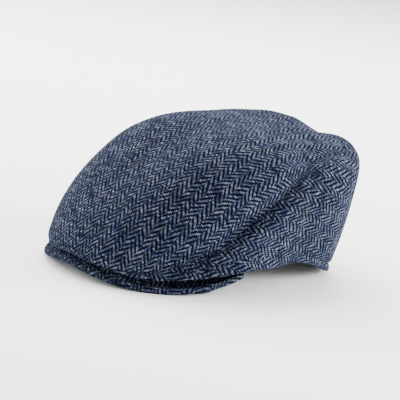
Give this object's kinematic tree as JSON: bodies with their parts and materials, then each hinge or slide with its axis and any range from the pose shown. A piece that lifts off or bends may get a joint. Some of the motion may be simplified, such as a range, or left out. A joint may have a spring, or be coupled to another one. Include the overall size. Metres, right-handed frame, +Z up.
{
  "type": "flat cap",
  "caption": "Soft flat cap of herringbone tweed: a one-piece top, side panels that meet at the back and a short stiff peak, with the head hollow open below.",
  "frame": {"origin": "on the floor, in the middle of the cap's length and width as it rests", "axes": "+Z up, -Y to the front with the peak, +X to the wearer's left"},
  "size_m": [0.2008, 0.2528, 0.1171],
  "materials": {
    "tweed": "matte woven wool with a blue and black herringbone"
  },
  "bodies": {
    "root": {"top_panel": "tweed", "side_panel_left": "tweed", "side_panel_right": "tweed", "peak": "tweed"}
  },
  "joints": []
}
